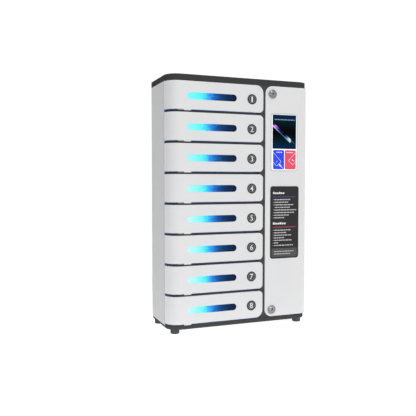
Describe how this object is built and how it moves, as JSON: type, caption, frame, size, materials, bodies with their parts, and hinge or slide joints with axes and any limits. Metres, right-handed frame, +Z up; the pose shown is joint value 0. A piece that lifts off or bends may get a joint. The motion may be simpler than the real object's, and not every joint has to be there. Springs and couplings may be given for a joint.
{
  "type": "phone charging kiosk",
  "caption": "Countertop phone charging kiosk with stacked lockable charging bays and a hinged control column carrying a display, an instruction plate and key locks.",
  "frame": {"origin": "on the floor under the middle of the cabinet, at the bottom of the feet", "axes": "+Z up, the doors and the display face -Y, the bays are on the -X side"},
  "size_m": [0.439, 0.1705, 0.7189],
  "materials": {
    "cap_and_base": "satin, fine leather-like texture",
    "foot_rubber": "matte",
    "white_shell": "satin powder coat with a fine orange peel",
    "white_door": "satin powder coat with a fine orange peel",
    "seam_trim": "pale blue translucent look, satin",
    "divider": "satin dark grey powder coat",
    "shelf_dark": "matte dark powder coat",
    "bay_wall": "satin powder coat",
    "grommet_rubber": "matte",
    "steel_pins": "turned steel",
    "lock_body": "matte black",
    "led_light": "emissive light blue diffuser",
    "circuit_board": "green solder mask with dark components",
    "power_supply_case": "satin",
    "inlet_plastic": "matte black",
    "screw_steel": "zinc plated",
    "display_frame": "glossy white",
    "screen_glass": "lit picture behind glass, emissive",
    "housing_dark": "matte black sheet steel",
    "instruction_plate": "matte printed film",
    "lock_chrome": "polished",
    "lock_plug_steel": "satin nickel",
    "window_lens": "glossy lens lit from pale cyan to deep navy, emissive",
    "badge_dark": "dark domed badge",
    "printed_light": "light print",
    "printed_red": "red print",
    "printed_blue": "blue print"
  },
  "bodies": {
    "root": {"top_cap": "cap_and_base", "base_tray": "cap_and_base", "feet": "foot_rubber", "left_side_panel": "white_shell", "right_side_panel": "white_shell", "back_panel": "white_shell", "seam_trims": "seam_trim", "divider_post": "divider", "cam_keepers": "steel_pins", "bay_shelves": "shelf_dark", "bay_rear_wall": "bay_wall", "cable_grommets": "grommet_rubber", "pivot_pins": "steel_pins", "lock_modules": "lock_body", "led_bars": "led_light", "charging_modules": "circuit_board", "control_board": "circuit_board", "power_supply": "power_supply_case", "power_inlet": "inlet_plastic", "screws": "screw_steel"},
    "bay_door_1": {"door_1": "white_door", "window_1": "window_lens", "badge_1": "badge_dark"},
    "bay_door_2": {"door_2": "white_door", "window_2": "window_lens", "badge_2": "badge_dark"},
    "bay_door_3": {"door_3": "white_door", "window_3": "window_lens", "badge_3": "badge_dark"},
    "bay_door_4": {"door_4": "white_door", "window_4": "window_lens", "badge_4": "badge_dark"},
    "bay_door_5": {"door_5": "white_door", "window_5": "window_lens", "badge_5": "badge_dark"},
    "bay_door_6": {"door_6": "white_door", "window_6": "window_lens", "badge_6": "badge_dark"},
    "bay_door_7": {"door_7": "white_door", "window_7": "window_lens", "badge_7": "badge_dark"},
    "bay_door_8": {"door_8": "white_door", "window_8": "window_lens", "badge_8": "badge_dark"},
    "bolt_1": {"lock_bolt_1": "steel_pins"},
    "bolt_2": {"lock_bolt_2": "steel_pins"},
    "bolt_3": {"lock_bolt_3": "steel_pins"},
    "bolt_4": {"lock_bolt_4": "steel_pins"},
    "bolt_5": {"lock_bolt_5": "steel_pins"},
    "bolt_6": {"lock_bolt_6": "steel_pins"},
    "bolt_7": {"lock_bolt_7": "steel_pins"},
    "bolt_8": {"lock_bolt_8": "steel_pins"},
    "service": {"service_door": "white_door", "display_frame": "display_frame", "display_screen": "screen_glass", "display_housing": "housing_dark", "instruction_plate": "instruction_plate", "lock_barrels": "lock_chrome"},
    "key_plug_top": {"lock_plug_top": "lock_plug_steel"},
    "key_plug_bottom": {"lock_plug_bottom": "lock_plug_steel"}
  },
  "joints": [
    {"name": "bay_door_1_hinge", "type": "hinge", "parent": "root", "child": "bay_door_1", "pos_m": [-0.1995, -0.0685, 0.6624], "axis": [0, 0, -1], "range_deg": [0, 100]},
    {"name": "bay_door_2_hinge", "type": "hinge", "parent": "root", "child": "bay_door_2", "pos_m": [-0.1995, -0.0685, 0.5774], "axis": [0, 0, -1], "range_deg": [0, 100]},
    {"name": "bay_door_3_hinge", "type": "hinge", "parent": "root", "child": "bay_door_3", "pos_m": [-0.1995, -0.0685, 0.4924], "axis": [0, 0, -1], "range_deg": [0, 100]},
    {"name": "bay_door_4_hinge", "type": "hinge", "parent": "root", "child": "bay_door_4", "pos_m": [-0.1995, -0.0685, 0.4074], "axis": [0, 0, -1], "range_deg": [0, 100]},
    {"name": "bay_door_5_hinge", "type": "hinge", "parent": "root", "child": "bay_door_5", "pos_m": [-0.1995, -0.0685, 0.3224], "axis": [0, 0, -1], "range_deg": [0, 100]},
    {"name": "bay_door_6_hinge", "type": "hinge", "parent": "root", "child": "bay_door_6", "pos_m": [-0.1995, -0.0685, 0.2374], "axis": [0, 0, -1], "range_deg": [0, 100]},
    {"name": "bay_door_7_hinge", "type": "hinge", "parent": "root", "child": "bay_door_7", "pos_m": [-0.1995, -0.0685, 0.1524], "axis": [0, 0, -1], "range_deg": [0, 100]},
    {"name": "bay_door_8_hinge", "type": "hinge", "parent": "root", "child": "bay_door_8", "pos_m": [-0.1995, -0.0685, 0.0674], "axis": [0, 0, -1], "range_deg": [0, 100]},
    {"name": "lock_bolt_1_slide", "type": "slide", "parent": "root", "child": "bolt_1", "axis": [-1, 0, 0], "range_m": [0, 0.0055]},
    {"name": "lock_bolt_2_slide", "type": "slide", "parent": "root", "child": "bolt_2", "axis": [-1, 0, 0], "range_m": [0, 0.0055]},
    {"name": "lock_bolt_3_slide", "type": "slide", "parent": "root", "child": "bolt_3", "axis": [-1, 0, 0], "range_m": [0, 0.0055]},
    {"name": "lock_bolt_4_slide", "type": "slide", "parent": "root", "child": "bolt_4", "axis": [-1, 0, 0], "range_m": [0, 0.0055]},
    {"name": "lock_bolt_5_slide", "type": "slide", "parent": "root", "child": "bolt_5", "axis": [-1, 0, 0], "range_m": [0, 0.0055]},
    {"name": "lock_bolt_6_slide", "type": "slide", "parent": "root", "child": "bolt_6", "axis": [-1, 0, 0], "range_m": [0, 0.0055]},
    {"name": "lock_bolt_7_slide", "type": "slide", "parent": "root", "child": "bolt_7", "axis": [-1, 0, 0], "range_m": [0, 0.0055]},
    {"name": "lock_bolt_8_slide", "type": "slide", "parent": "root", "child": "bolt_8", "axis": [-1, 0, 0], "range_m": [0, 0.0055]},
    {"name": "service_door_hinge", "type": "hinge", "parent": "root", "child": "service", "pos_m": [0.1995, -0.0685, 0.3649], "axis": [0, 0, 1], "range_deg": [0, 110]},
    {"name": "key_plug_top_turn", "type": "hinge", "parent": "service", "child": "key_plug_top", "pos_m": [0.0972, -0.0825, 0.6785], "axis": [0, -1, 0], "range_deg": [0, 90]},
    {"name": "key_plug_bottom_turn", "type": "hinge", "parent": "service", "child": "key_plug_bottom", "pos_m": [0.0972, -0.0825, 0.0481], "axis": [0, 1, 0], "range_deg": [0, 90]}
  ]
}
